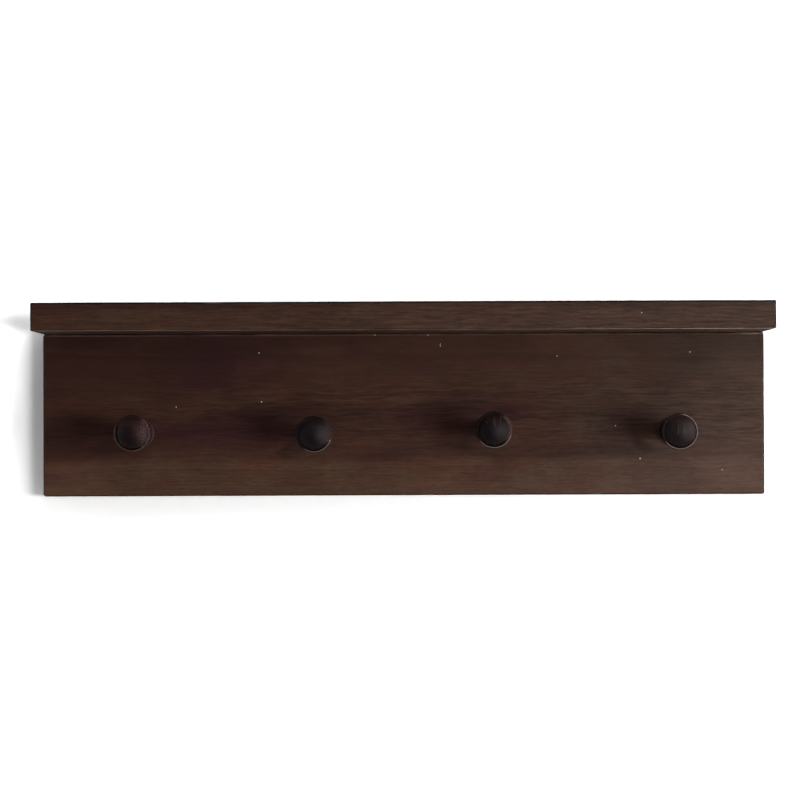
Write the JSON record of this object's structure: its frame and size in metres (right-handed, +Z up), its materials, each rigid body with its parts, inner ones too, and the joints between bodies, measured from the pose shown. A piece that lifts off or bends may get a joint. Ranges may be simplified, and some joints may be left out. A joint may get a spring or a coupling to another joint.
{
  "type": "peg rail with shelf",
  "caption": "Wall-hung wooden Shaker peg rail: turned pegs in a row on a plain board, with a shelf along its top edge and keyhole hangers at the back.",
  "frame": {"origin": "on the wall plane, midway between the centres of the two keyholes' round entries", "axes": "+X to the right as one faces the rail, +Y out of the back into the wall, +Z up; the front faces -Y"},
  "size_m": [0.508, 0.089, 0.1338],
  "materials": {
    "stained_wood": "dark walnut stain under a thin satin coat",
    "peg_wood": "near-black stain, satin",
    "plug_wood": "dark walnut stain, grain along the shelf's",
    "zinc_steel": "dull zinc plating"
  },
  "bodies": {
    "root": {"back_board": "stained_wood", "shelf_board": "stained_wood", "peg_1": "peg_wood", "peg_2": "peg_wood", "peg_3": "peg_wood", "peg_4": "peg_wood", "shelf_screw_1": "zinc_steel", "shelf_plug_1": "plug_wood", "shelf_screw_2": "zinc_steel", "shelf_plug_2": "plug_wood", "shelf_screw_3": "zinc_steel", "shelf_plug_3": "plug_wood", "shelf_screw_4": "zinc_steel", "shelf_plug_4": "plug_wood", "keyhole_plate_left": "zinc_steel", "hanger_screw_left_lower": "zinc_steel", "hanger_screw_left_upper": "zinc_steel", "keyhole_plate_right": "zinc_steel", "hanger_screw_right_lower": "zinc_steel", "hanger_screw_right_upper": "zinc_steel"}
  },
  "joints": []
}
